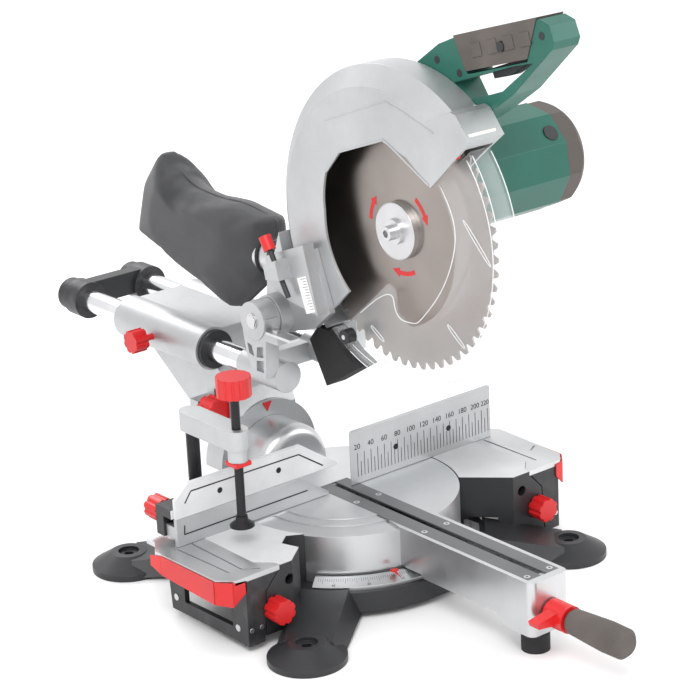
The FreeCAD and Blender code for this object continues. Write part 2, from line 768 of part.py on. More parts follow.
def make_upper_guard():
    left, right, wall = size("guard_left"), size("guard_right"), size("wall")
    rim, face = size("guard_rim"), size("guard_face")
    first, last = -48.6, 128.0
    shell = [
        (left, 140),
        (left, face),
        (-13, rim),
        (right, rim),
        (right, 60),
        (right - wall, 60),
        (right - wall, rim - wall),
        (-11.5, rim - wall),
        (left + wall, face - 1.5),
        (left + wall, 140),
    ]
    hood = lathe("hood", "x", shell, BLADE, last - first, (first + last) / 2)
    face_outline = [
        (-59, 345),
        on_circle(BLADE, face - 1, first),
        *arc_points(face - 1, 20, 90, 108, 126.6),
        (-240, 568),
        (-259, 543),
        (-199, 487),
        (-162, 513),
        (-125, 523),
        (-52, 498),
        (-27, 471),
        (-22, 450, -22, 428),
    ]
    start = face_outline[0]
    face_outline.append((*on_circle(BLADE, 94, -25), *start))
    plate = slab("guard_face_plate", "yz", left, left + wall, face_outline)
    nose_outline = [(-196, 556), (-232, 572), (-240, 570), (-260, 545), (-227, 518), (-190, 500)]
    nose = slab("nose", "yz", left, right, nose_outline)
    inside, outside = left + wall, right - wall
    room = [(inside, 0), (inside, 174), (outside, 174), (outside, 0)]
    nose_core = lathe("nose_core", "x", room, BLADE)
    nose = cut("nose_cut", nose, nose_core)
    right_plate_outline = [
        on_circle(BLADE, 60, last),
        on_circle(BLADE, rim - 1, last - 4),
        (-240, 570),
        (-260, 545),
        (-227, 518),
        on_circle(BLADE, 60, 139),
    ]
    right_plate = slab("nose_right", "yz", right - wall, right, right_plate_outline)
    opening = rod("case_opening", "x", 60, right - wall - 1, right + 1, BLADE)
    duct = rod("chip_opening", "y", 16, 20, 60, (-4, 348))
    whole = join("guard_whole", hood, plate, nose, right_plate)
    node(cut("guard_cut", whole, opening, duct), "upper_guard")


def make_head_casting():
    barrel = rod("barrel", "x", "dims.hinge_radius", -51.5, 51.5, PIVOT)
    middle_outline = [(56, 273), (20, 290), (10, 300), (50, 400), (58, 396), (78, 345), (80, 296)]
    middle = slab("casting_middle", "yz", -28.3, 20.3, middle_outline)
    clear = rod("casting_clear", "x", "dims.guard_rim + 0.3", -40, 40, BLADE)
    middle = cut("casting_middle_cut", middle, clear)
    web_outline = [(56, 272), (-5, 292), (-34, 316), (-9, 384), (58, 366), (76, 345), (81, 296)]
    web = slab("casting_web", "yz", -36, -28.3, web_outline)
    cheek_outline = [(21, 322), (-30, 316), (-9, 392), (58, 366), (58, 347), (51, 335)]
    cheek = slab("casting_cheek", "yz", -50, -35, cheek_outline)
    lug = slab("stop_lug", "yz", -67, -49, [(14, 350), (38, 346), (42, 362), (20, 372)])
    whole = join("casting_whole", barrel, middle, web, cheek, lug)
    tools = [
        rod("barrel_bore", "x", "dims.pin_radius + dims.running_gap", -55, 55, PIVOT),
        rod("spring_room", "x", 17, -22, 22, PIVOT),
        tilted_rod("lug_bore", 3.2, 30),
        rod("port_room", "y", 20, 20, 100, (-4, 348)),
    ]
    node(cut("casting_cut", whole, *tools), "head_casting")

    node(lathe("port_ring", "y", [(88, 20), (88, 24), (124, 22.5), (124, 20)], (-4, 348)), "dust_port")


STOP_TIP = (10, 330)
STOP_TOP = (43, 385)


def tilted_rod(name, radius, spare, start=0.0, length=None):
    """A cylinder on the depth stop's slanting axis, from its tip upward."""
    run = Vector(0, STOP_TOP[0] - STOP_TIP[0], STOP_TOP[1] - STOP_TIP[1])
    full = length if length is not None else run.Length + 2 * spare
    run.normalize()
    cylinder = doc.addObject("Part::Cylinder", name)
    bind(cylinder, "Radius", radius)
    bind(cylinder, "Height", full)
    origin = Vector(-58, *STOP_TIP) + run * (start - spare)
    cylinder.Placement = Placement(origin, Rotation(Vector(0, 0, 1), run))
    return cylinder


def make_depth_stop():
    thread = tilted_rod("stop_thread", 3, 0, 0, 56)
    cap = tilted_rod("stop_cap", 7, 0, 56, 17)
    node(join("depth_stop_fused", thread, cap), "depth_stop_screw")


def make_gear_case():
    neck = rod("neck", "x", 26, 8, 24, BLADE)
    flange = rod("neck_flange", "x", 59.8, 17, 22, BLADE)
    pot = rod("gear_pot", "x", 48, 20.3, 60, BLADE)
    motor_pot = rod("motor_pot", "x", 52, 20.3, 60, MOTOR)
    tools = [
        rod("neck_bearing_seat", "x", 17, 7, 17, BLADE),
        rod("neck_way", "x", 12, 16, 26, BLADE),
        rod("gear_room", "x", 35, 24, 48, BLADE),
        rod("far_bearing_seat", "x", 17, 47, 57, BLADE),
        rod("pinion_room", "x", 12, 24, 50.5, MOTOR),
        rod("motor_bearing_seat", "x", 13, 50, 61, MOTOR),
    ]
    whole = join("case_whole", neck, flange, pot, motor_pot)
    node(cut("case_cut", whole, *tools), "gear_case")

    races = [
        ("neck_bearing", BLADE, 8, 17, "dims.spindle_radius + dims.running_gap", 17),
        ("far_bearing", BLADE, 48, 57, "dims.spindle_radius + dims.running_gap", 17),
        ("front_motor_bearing", MOTOR, 51, 60, "dims.shaft_radius + dims.running_gap", 13),
        ("rear_motor_bearing", MOTOR, 206, 214, "dims.shaft_radius + dims.running_gap", 11),
    ]
    rings = []
    for name, centre, start, stop, inner, outer in races:
        race = rod(name, "x", outer, start, stop, centre)
        hole = rod(f"{name}_hole", "x", inner, start - 1, stop + 1, centre)
        rings.append(cut(f"{name}_ring", race, hole))
    node(group("bearing_group", *rings), "bearings")


def polygon_about(centre, radius, sides, phase=0.0):
    return [on_circle(centre, radius, phase + 360 * i / sides) for i in range(sides)]


def make_motor():
    sides = 10
    outline = polygon_about(MOTOR, size("motor_radius"), sides, 10)
    body = slab("motor_body", "yz", 60.3, "dims.motor_end", outline)
    bore = rod("motor_room", "x", "dims.motor_bore", 55, 205, MOTOR)
    caps = [radial_rod(f"brush_seat_{a}", 9, 40, 70, a, 186, MOTOR) for a in (140, -40)]
    node(cut("motor_cut", body, bore, *caps), "motor_housing")

    plugs = [radial_rod(f"brush_plug_{a}", 9, 52, 58.5, a, 186, MOTOR) for a in (140, -40)]
    brushes = [radial_rod(f"brush_{a}", 4, 16.3, 52, a, 186, MOTOR) for a in (140, -40)]
    pairs = [join(f"brush_pair_{i}", plugs[i], brushes[i]) for i in (0, 1)]
    node(group("brush_group", *pairs), "brushes")

    first = polygon_about(MOTOR, size("motor_radius") - 1, sides, 10)
    start = slab("cap_body", "yz", 200.3, "dims.cap_end", first)
    room = rod("cap_room", "x", 46, 195, 220, MOTOR)
    hub = rod("cap_hub", "x", 15, 205, 221, MOTOR)
    seat = rod("cap_seat", "x", 11, 200, 216, MOTOR)
    room = cut("cap_room_cut", room, hub)
    trim = rod("cap_trim", "x", 80, 190, 240, MOTOR)
    taper = cone("cap_taper", "x", (74, 50), 196, 232, MOTOR)
    trim = cut("cap_trim_cut", trim, taper)
    node(cut("cap_cut", start, room, seat, trim), "motor_end_cap")

    outer = rod("stator_outer", "x", "dims.motor_bore", 92, 158, MOTOR)
    inner = rod("stator_inner", "x", 30, 90, 160, MOTOR)
    node(cut("stator_cut", outer, inner), "stator")

    half_tooth = 180 / size("pinion_teeth")
    pinion_turn = size("centre_line_angle") + 180 + half_tooth
    pinion = gear("pinion", MOTOR, size("pinion_teeth"), 29, 43, pinion_turn)
    rotor = [
        pinion,
        rod("rotor_shaft", "x", "dims.shaft_radius", 26, 214, MOTOR),
        rod("rotor_core", "x", 28.5, 94, 156, MOTOR),
        rod("commutator", "x", 16, 170, 198, MOTOR),
        rod("fan_disc", "x", 44, 80, 83, MOTOR),
    ]
    for i in range(8):
        spot = on_circle(MOTOR, 30, 45 * i)
        rotor.append(rod(f"fan_post_{i}", "x", 5, 68, 81, spot))
    node(join("rotor_fused", *rotor), "motor_rotor")


def gear(name, centre, teeth, start, stop, phase):
    """A spur gear with involute flanks and generous backlash."""
    module = size("gear_module")
    pitch = module * teeth / 2
    base = pitch * math.cos(math.radians(20))
    root, tip = pitch - 1.25 * module, pitch + 0.85 * module
    thin = 0.16 / pitch
    half = math.pi / 2 / teeth - thin + math.tan(math.radians(20)) - math.radians(20)
    flank = []
    for i in range(4):
        radius = max(base, root) + (tip - max(base, root)) * i / 3
        slope = math.acos(min(1.0, base / radius))
        flank.append((radius, half - (math.tan(slope) - slope)))
    if root < base:
        flank.insert(0, (root, flank[0][1]))
    outline = []
    for k in range(int(teeth)):
        middle = math.radians(phase) + 2 * math.pi * k / teeth
        for radius, angle in flank:
            outline.append(on_circle(centre, radius, math.degrees(middle - angle)))
        for radius, angle in reversed(flank):
            outline.append(on_circle(centre, radius, math.degrees(middle + angle)))
    return slab(name, "yz", start, stop, outline)


def make_blade_set():
    half = size("blade_half_plate")
    teeth = 60
    radius = size("blade_radius")
    outline = []
    for k in range(teeth):
        middle = 360 * k / teeth
        outline.append(on_circle(BLADE, radius, middle))
        outline.append(on_circle(BLADE, radius - 0.6, middle + 1.6))
        outline.append(on_circle(BLADE, radius - 7.5, middle + 3.2))
        outline.append(on_circle(BLADE, radius - 8.5, middle + 4.6))
    plate = slab("blade_plate", "yz", -half, half, outline)
    bore = rod("blade_bore", "x", 15, -5, 5, BLADE)
    node(cut("blade_cut", plate, bore), "saw_blade")

    outer = rod("outer_flange", "x", "dims.flange_radius", -8, -half, BLADE)
    inner = rod("inner_flange", "x", "dims.flange_radius", half, 7.4, BLADE)
    bush = rod("inner_bush", "x", 15, -half, half, BLADE)
    hole = rod("flange_hole", "x", "dims.spindle_radius", -10, 10, BLADE)
    flanges = [cut("outer_cut", outer, hole)]
    hole = rod("flange_hole_b", "x", "dims.spindle_radius", -half, 10, BLADE)
    flanges.append(cut("inner_cut", join("inner_fused", inner, bush), hole))
    node(group("flange_group", *flanges), "blade_flanges")

    washer = rod("bolt_washer", "x", 14, -12, -8, BLADE)
    head = rod("bolt_head", "x", 8, -21, -12, BLADE)
    socket = rod("bolt_socket", "x", 4, -23, -15, BLADE)
    node(cut("bolt_cut", join("bolt_fused", washer, head), socket), "blade_bolt")

    node(rod("spindle_rod", "x", "dims.spindle_radius", -8, 57, BLADE), "spindle")
    wheel = gear("wheel", BLADE, size("gear_teeth"), 30, 42, size("centre_line_angle"))
    hole = rod("wheel_hole", "x", "dims.spindle_radius", 28, 45, BLADE)
    node(cut("wheel_cut", wheel, hole), "drive_gear")


def make_lower_guard():
    outer = size("clear_guard_radius")
    first, last = 139.5, 309.0
    rim = [(-14, outer - 3), (-14, outer), (12, outer), (12, 36), (9.5, 36), (9.5, outer - 3)]
    shell = lathe("clear_shell", "x", rim, BLADE, last - first, (first + last) / 2)
    side = [
        on_circle(BLADE, outer - 1.5, first),
        *arc_points(outer - 1.5, 220, last),
        on_circle(BLADE, 145, 304),
        on_circle(BLADE, 59, 278),
        on_circle(BLADE, 63, 267),
        on_circle(BLADE, 88, 266),
        on_circle(BLADE, 102, 256),
        *arc_points(102, 198, first),
    ]
    plate = slab("clear_side", "yz", -14, -11.5, side)
    hub = rod("clear_hub", "x", 40, 9.5, 12, BLADE)
    hole = rod("clear_hub_hole", "x", 26.3, 5, 15, BLADE)
    whole = join("clear_whole", shell, plate, hub)
    node(cut("clear_cut", whole, hole), "lower_guard")
    spot = on_circle(BLADE, 150, 299)
    roller = rod("roller", "x", 8, -26, -14, spot)
    node(roller, "guard_roller")


def make_handle():
    outline = [
        (-112, 588),
        (-163, 623),
        (-190, 634),
        (-312, 668),
        (-326, 664),
        (-333, 648),
        (-330, 640),
        (-275, 588),
        (-243, 566),
        (-215, 548),
        (-150, 548),
    ]
    hole = [(-185, 586), (-198, 568), (-258, 588), (-303, 623), (-275, 616)]
    shell = slab("handle_body", "yz", 20.5, 56, outline, hole)
    grip_outline = [(-185.1, 637), (-205.9, 597.5), (-294.8, 623.2), (-310.2, 671.8)]
    zone = slab("grip_zone", "yz", 10, 70, grip_outline)
    core = block("grip_core", (25, 51.5), (-320, -180), (560, 680))
    band = slab("grip_band", "yz", 10, 70, [(-180, 629), (-196, 605), (-300, 634), (-315, 663)])
    core = common("grip_core_cut", core, band)
    slot = slab("trigger_slot", "yz", 29.5, 46.5, [(-229, 590), (-288, 612), (-288, 636), (-229, 613)])
    core = cut("grip_core_slot", core, slot)
    sleeve = cut("grip_space", zone, core)
    node(cut("handle_cut", shell, sleeve, slot), "handle_shell")
    grip = [(-186.65, 635), (-204.7, 600.5), (-295.4, 626.4), (-309.1, 669.5)]
    grip = slab("grip_body", "yz", 19.5, 57, grip)
    button_hole = rod("button_hole", "x", 5.3, 10, 25, (-259, 634))
    node(cut("grip_cut", grip, core, slot, button_hole), "handle_grip")

    trigger = [(-232, 606), (-284, 625), (-285, 618), (-258, 602), (-236, 596)]
    node(slab("trigger_body", "yz", 30, 46, trigger), "trigger")
    node(rod("button", "x", 5, 17, 23, (-259, 634)), "lock_off_button")


def make_soft_and_small():
    bag = [
        (112, 318),
        (176, 270),
        (257, 298),
        (360, 340),
        (316, 430),
        (200, 405),
        (120, 392),
        (104, 370),
    ]
    pouch = slab("bag_body", "yz", -36, 30, bag)
    room = rod("bag_mouth", "y", 24.5, 80, 125, (-4, 348))
    node(cut("bag_cut", pouch, room), "dust_bag")

    flap = [(36, 264), (9, 215), (-50, 251), (-26, 261), (2, 282), (20, 283)]
    node(slab("flap", "yz", -12, 15, flap), "chip_flap")

    gland = rod("gland", "y", 8, -48.5, -30, (80, MOTOR[1]))
    node(gland, "cord_gland")

    coils, pitch = 12, 3.0
    spring = [(-18, 11.6), (-18, 13.4)]
    for i in range(coils):
        left = -18 + pitch * i
        spring.append((left + pitch / 2, 14.9, left + pitch, 13.4))
    spring.append((-18 + pitch * coils, 11.6))
    node(lathe("spring_coils", "x", spring, PIVOT), "return_spring")


def check(feature):
    """Stop on an object that failed, or a sub-part without a sound shape."""
    bad = {"Invalid", "Error"} & set(feature.State)
    if bad:
        raise RuntimeError(f"{feature.Name} {feature.Label}: {feature.State}")


make_base()
make_fences()
for side in (-1, 1):
    extension(side)
make_clamp()
make_turntable()
make_tilt_frame()
make_carriage()
make_upper_guard()
make_head_casting()
make_depth_stop()
make_gear_case()
make_motor()
make_blade_set()
make_lower_guard()
make_handle()
make_soft_and_small()
doc.recompute()

for feature in doc.Objects:
    check(feature)
os.makedirs("parts", exist_ok=True)
for piece in nodes:
    shape = piece.Shape
    if shape.isNull() or not shape.isValid() or not shape.Solids:
        raise RuntimeError(f"{piece.Label} has no sound solid")
    shape.exportStep(f"parts/{piece.Label}.step")
    print(f"{piece.Label}: {len(shape.Solids)} solids, {shape.Volume / 1000:.1f} cm3")
print(len(nodes), "nodes")
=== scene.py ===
"""Looks for the sliding compound mitre saw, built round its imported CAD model. Metres throughout."""

import math

import bmesh
import bpy
from mathutils import Matrix, Vector


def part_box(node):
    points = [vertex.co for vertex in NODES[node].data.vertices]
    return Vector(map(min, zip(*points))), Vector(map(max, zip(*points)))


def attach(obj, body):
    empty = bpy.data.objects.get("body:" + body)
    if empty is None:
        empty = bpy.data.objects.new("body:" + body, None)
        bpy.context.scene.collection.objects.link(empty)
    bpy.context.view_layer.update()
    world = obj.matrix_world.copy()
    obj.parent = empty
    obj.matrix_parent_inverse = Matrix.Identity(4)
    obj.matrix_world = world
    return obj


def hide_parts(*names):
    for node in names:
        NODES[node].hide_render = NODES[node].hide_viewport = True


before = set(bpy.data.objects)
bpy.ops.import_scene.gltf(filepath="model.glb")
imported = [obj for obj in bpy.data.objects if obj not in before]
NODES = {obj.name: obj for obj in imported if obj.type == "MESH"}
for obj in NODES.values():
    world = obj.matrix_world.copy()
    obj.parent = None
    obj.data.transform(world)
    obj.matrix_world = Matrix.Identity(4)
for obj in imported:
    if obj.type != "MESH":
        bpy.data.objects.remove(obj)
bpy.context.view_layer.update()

MM = 0.001
X, Y, Z = Vector((1, 0, 0)), Vector((0, 1, 0)), Vector((0, 0, 1))


def mid(node):
    """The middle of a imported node's box."""
    low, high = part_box(node)
    return (Vector(low) + Vector(high)) / 2


BLADE = mid("saw_blade")

# ---------------------------------------------------------------- camera, light and floor

CAMERA_PLACE = Vector((-1.57545, -2.00564, 1.15619))
CAMERA_TURN = math.radians(-38.39)
CAMERA_DROP = math.radians(19.39)
CAMERA_ROLL = math.radians(-2.68)
LENS_MM = 125.53


def make_camera():
    """A long lens at the place the three angles and the roll describe."""
    turn, drop, roll = CAMERA_TURN, CAMERA_DROP, CAMERA_ROLL
    back = Vector((
        math.sin(turn) * math.cos(drop),
        -math.cos(turn) * math.cos(drop),
        math.sin(drop),
    ))
    right = Vector((math.cos(turn), math.sin(turn), 0))
    up = back.cross(right)
    level_right = right
    right = math.cos(roll) * level_right + math.sin(roll) * up
    up = math.cos(roll) * up - math.sin(roll) * level_right
    data = bpy.data.cameras.new("camera")
    data.lens = LENS_MM
    data.sensor_width = 36
    data.clip_end = 50
    camera = bpy.data.objects.new("camera", data)
    bpy.context.scene.collection.objects.link(camera)
    turn_matrix = Matrix((right, up, back)).transposed().to_4x4()
    camera.matrix_world = Matrix.Translation(CAMERA_PLACE) @ turn_matrix
    bpy.context.scene.camera = camera


def add_area_light(name, place, target, size, watts):
    data = bpy.data.lights.new(name, "AREA")
    data.shape = "RECTANGLE"
    data.size, data.size_y = size
    data.energy = watts
    light = bpy.data.objects.new(name, data)
    light.location = place
    light.rotation_euler = (Vector(target) - Vector(place)).to_track_quat("-Z", "Y").to_euler()
    bpy.context.scene.collection.objects.link(light)
    return light


def make_studio():
    world = bpy.data.worlds.new("studio")
    world.use_nodes = True
    world.node_tree.nodes["Background"].inputs["Color"].default_value = (1, 1, 1, 1)
    world.node_tree.nodes["Background"].inputs["Strength"].default_value = 1.05
    bpy.context.scene.world = world
    bpy.context.scene.view_settings.view_transform = "Standard"
    centre = (0, 0, 0.25)
    add_area_light("key", (-1.6, -1.6, 2.6), centre, (1.6, 1.2), 55)
    add_area_light("fill", (2.4, -1.8, 1.6), centre, (1.4, 1.4), 24)
    add_area_light("rim", (0.4, 2.4, 2.2), centre, (1.8, 0.8), 34)

    mesh = bpy.data.meshes.new("floor")
    side = 6
    corners = [(-side, -side, 0), (side, -side, 0), (side, side, 0), (-side, side, 0)]
    mesh.from_pydata(corners, [], [(0, 1, 2, 3)])
    floor = bpy.data.objects.new("floor", mesh)
    bpy.context.scene.collection.objects.link(floor)
    plain = Graph("floor_white")
    plain.set(Base_Color=(0.9, 0.9, 0.9, 1), Roughness=0.9)
    floor.data.materials.append(plain.material)


# ---------------------------------------------------------------- materials


# A wave texture repeats every 0.314 / scale metres.
WAVE_SCALE_PER_METRE = 0.314


class Graph:
    """A short way to write node materials."""

    def __init__(self, name):
        self.material = bpy.data.materials.new(name)
        self.material.use_nodes = True
        self.tree = self.material.node_tree
        self.shader = self.tree.nodes["Principled BSDF"]
        self.coords = self.add("ShaderNodeTexCoord").outputs["Object"]

    def add(self, kind, inputs=None, **settings):
        node = self.tree.nodes.new(kind)
        for key, setting in settings.items():
            setattr(node, key, setting)
        for key, feed in (inputs or {}).items():
            self.feed(node.inputs[key], feed)
        return node

    def feed(self, socket, feed):
        if isinstance(feed, bpy.types.NodeSocket):
            self.tree.links.new(feed, socket)
        else:
            socket.default_value = feed

    def set(self, **inputs):
        for key, feed in inputs.items():
            self.feed(self.shader.inputs[key.replace("_", " ")], feed)

    def mapped(self, scale=(1, 1, 1), place=(0, 0, 0)):
        inputs = {"Vector": self.coords, "Scale": scale, "Location": place}
        return self.add("ShaderNodeMapping", inputs).outputs["Vector"]

    def noise(self, scale, detail=4, rough=0.55, vector=None):
        inputs = {
            "Vector": vector or self.coords,
            "Scale": scale,
            "Detail": detail,
            "Roughness": rough,
        }
        return self.add("ShaderNodeTexNoise", inputs).outputs["Fac"]

    def ramp(self, feed, low, high, start=0.3, stop=0.7):
        node = self.add("ShaderNodeValToRGB", {"Fac": feed})
        stops = node.color_ramp.elements
        for stop_point, position, colour in zip(stops, (start, stop), (low, high)):
            stop_point.position = position
            grey_or_colour = colour if isinstance(colour, tuple) else (colour,) * 3
            stop_point.color = (*grey_or_colour, 1)
        return node.outputs["Color"]

    def span(self, feed, low, high):
        inputs = {"Value": feed, "To Min": low, "To Max": high}
        return self.add("ShaderNodeMapRange", inputs).outputs["Result"]

    def mix(self, amount, first, second):
        node = self.add("ShaderNodeMix", data_type="RGBA")
        self.feed(node.inputs[0], amount)
        self.feed(node.inputs[6], first)
        self.feed(node.inputs[7], second)
        return node.outputs[2]

    def math(self, operation, *feeds):
        node = self.add("ShaderNodeMath", operation=operation)
        for socket, feed in zip(node.inputs, feeds):
            self.feed(socket, feed)
        return node.outputs[0]

    def bump(self, height, strength, distance, edge=0.0):
        inputs = {"Height": height, "Strength": strength, "Distance": distance}
        if edge:
            inputs["Normal"] = self.add("ShaderNodeBevel", {"Radius": edge}, samples=4).outputs[0]
        self.set(Normal=self.add("ShaderNodeBump", inputs).outputs["Normal"])

    def worn_edges(self, amount):
        """White along convex edges, broken up by noise."""
        edge = self.add("ShaderNodeNewGeometry").outputs["Pointiness"]
        sharp = self.ramp(edge, 0.0, 1.0, 0.505, 0.56)
        patch = self.ramp(self.noise(60, 3), 0.0, amount, 0.45, 0.7)
        return self.math("MULTIPLY", sharp, patch)


def shade(colour, factor):
    """A colour made darker or lighter, at most full."""
    return tuple(min(1, c * factor) for c in colour)


def painted(name, colour, rough, grain=0.15, edge=0.0006, metal=0.0, wear=0.0):
    """Paint, powder coat or moulded plastic: soft grain, cloudy colour and gloss."""
    g = Graph(name)
    cloud = g.noise(14, 5)
    base = g.ramp(cloud, shade(colour, 0.86), shade(colour, 1.12))
    if wear:
        base = g.mix(g.worn_edges(wear), base, (0.45, 0.45, 0.46, 1))
    g.set(Base_Color=base, Roughness=g.span(g.noise(35, 4), rough - 0.07, rough + 0.08))
    g.shader.inputs["Metallic"].default_value = metal
    if grain:
        g.bump(g.noise(1400, 2), grain, 0.0002, edge)
    return g.material


def cast_metal(name, colour, rough=0.42, grain=0.35, edge=0.0009):
    """A bead-blasted aluminium die casting."""
    g = Graph(name)
    cloud = g.noise(9, 6, 0.6)
    speck = g.noise(900, 3, 0.7)
    base = g.ramp(cloud, shade(colour, 0.88), shade(colour, 1.08))
    base = g.mix(g.ramp(speck, 0.0, 0.35, 0.5, 0.75), base, (*shade(colour, 0.7), 1))
    g.set(Base_Color=base, Roughness=g.span(g.noise(120, 4), rough - 0.08, rough + 0.1))
    g.shader.inputs["Metallic"].default_value = 0.75
    g.bump(speck, grain, 0.0003, edge)
    return g.material


def turned_metal(name, colour, direction, centre, pitch=0.0012, rough=0.3, metal=0.9):
    """Metal with concentric tool marks round an axis."""
    g = Graph(name)
    rings = g.add(
        "ShaderNodeTexWave",
        {
            "Vector": g.mapped(place=tuple(-c for c in centre)),
            "Scale": WAVE_SCALE_PER_METRE / pitch,
            "Distortion": 0.25,
        },
        wave_type="RINGS",
        rings_direction=direction,
    ).outputs["Fac"]
    base = g.ramp(g.noise(7, 5), shade(colour, 0.88), shade(colour, 1.08))
    g.set(Base_Color=base, Roughness=g.span(g.noise(50, 4), rough - 0.06, rough + 0.12))
    g.shader.inputs["Metallic"].default_value = metal
    g.shader.inputs["Anisotropic"].default_value = 0.5
    g.bump(rings, 0.12, 0.0001, 0.0005)
    return g.material


def brushed_metal(name, colour, along, rough=0.28, edge=0.0004, metal=1.0):
    """Steel with fine scratches along one axis."""
    g = Graph(name)
    stretch = tuple(12 if along == letter else 900 for letter in "xyz")
    lines = g.noise(1, 3, 0.6, g.mapped(stretch))
    base = g.ramp(g.noise(18, 4), shade(colour, 0.9), shade(colour, 1.06))
    g.set(Base_Color=base, Roughness=g.span(lines, rough - 0.08, rough + 0.14))
    g.shader.inputs["Metallic"].default_value = metal
    g.bump(lines, 0.08, 0.0001, edge)
    return g.material


def split_tone(name, first, second, direction, start):
    """One colour up to a distance along a direction and another past it."""
    g = Graph(name)
    dot = g.add("ShaderNodeVectorMath", {0: g.coords, 1: direction}, operation="DOT_PRODUCT")
    past = g.math("GREATER_THAN", dot.outputs["Value"], start)
    cloud = g.noise(16, 5)
    low = g.ramp(cloud, shade(first, 0.86), shade(first, 1.12))
    high = g.ramp(cloud, shade(second, 0.9), shade(second, 1.08))
    g.set(Base_Color=g.mix(past, low, high), Roughness=g.span(g.noise(40, 4), 0.34, 0.48))
    g.bump(g.noise(1200, 2), 0.2, 0.0002, 0.0008)
    return g.material


def blade_steel(name, colour):
    """Ground steel whose highlight fans out from the middle."""
    g = Graph(name)
    place = tuple(-c for c in BLADE)
    rings = g.add(
        "ShaderNodeTexWave",
        {"Vector": g.mapped(place=place), "Scale": 420, "Distortion": 1.2},
        wave_type="RINGS",
        rings_direction="X",
    ).outputs["Fac"]
    base = g.ramp(g.noise(8, 6, 0.6), shade(colour, 0.9), shade(colour, 1.08))
    g.set(Base_Color=base, Roughness=g.span(rings, 0.27, 0.36))
    g.set(Tangent=g.add("ShaderNodeTangent", direction_type="RADIAL", axis="X").outputs[0])
    g.shader.inputs["Metallic"].default_value = 1.0
    g.shader.inputs["Anisotropic"].default_value = 0.85
    g.bump(rings, 0.06, 0.0001, 0.0003)
    return g.material


def rubber(name, colour, rough=0.75):
    """Matt rubber with a fine pebble grain."""
    g = Graph(name)
    dots = g.add("ShaderNodeTexVoronoi", {"Vector": g.coords, "Scale": 420}).outputs["Distance"]
    base = g.ramp(g.noise(20, 4), shade(colour, 0.8), shade(colour, 1.15))
    g.set(Base_Color=base, Roughness=g.span(g.noise(60, 3), rough - 0.08, rough + 0.08))
    g.bump(dots, 0.3, 0.0004, 0.0006)
    return g.material


def clear_plastic(name, colour, opacity, edge_on_sheen_opacity):
    """Clear moulding with a painted sheen: whiter and more opaque where it is seen edge on, in place
    of the reflection there.
    """
    g = Graph(name)
    # Painted sheen: alpha rises towards edge-on views, so the pale colour stands in for the
    # reflection at grazing angles.
    facing = g.add("ShaderNodeLayerWeight", {"Blend": 0.35}).outputs["Facing"]
    alpha = g.span(facing, opacity, edge_on_sheen_opacity)
    haze = g.noise(30, 5)
    g.set(Base_Color=g.ramp(haze, shade(colour, 0.92), colour), Alpha=alpha)
    g.set(Roughness=g.span(haze, 0.06, 0.2))
    g.bump(g.noise(90, 3), 0.05, 0.0005, 0.0008)
    return g.material


def woven(name, colour, thread=0.0011):
    """Dusty cloth of crossed threads."""
    g = Graph(name)
    scale = WAVE_SCALE_PER_METRE / thread * 2
    feeds = {"Vector": g.coords, "Scale": scale, "Distortion": 0.4}
    warp = g.add("ShaderNodeTexWave", feeds, bands_direction="Y")
    weft = g.add("ShaderNodeTexWave", feeds, bands_direction="Z")
    weave = g.math("MAXIMUM", warp.outputs["Fac"], weft.outputs["Fac"])
    dust = g.ramp(g.noise(26, 6, 0.65), shade(colour, 0.75), shade(colour, 1.5), 0.35, 0.75)
    g.set(Base_Color=g.mix(g.ramp(weave, 0.0, 0.5), dust, (*shade(colour, 1.6), 1)), Roughness=0.92)
    g.shader.inputs["Sheen Weight"].default_value = 0.25
    g.bump(weave, 0.5, 0.0004)
    return g.material


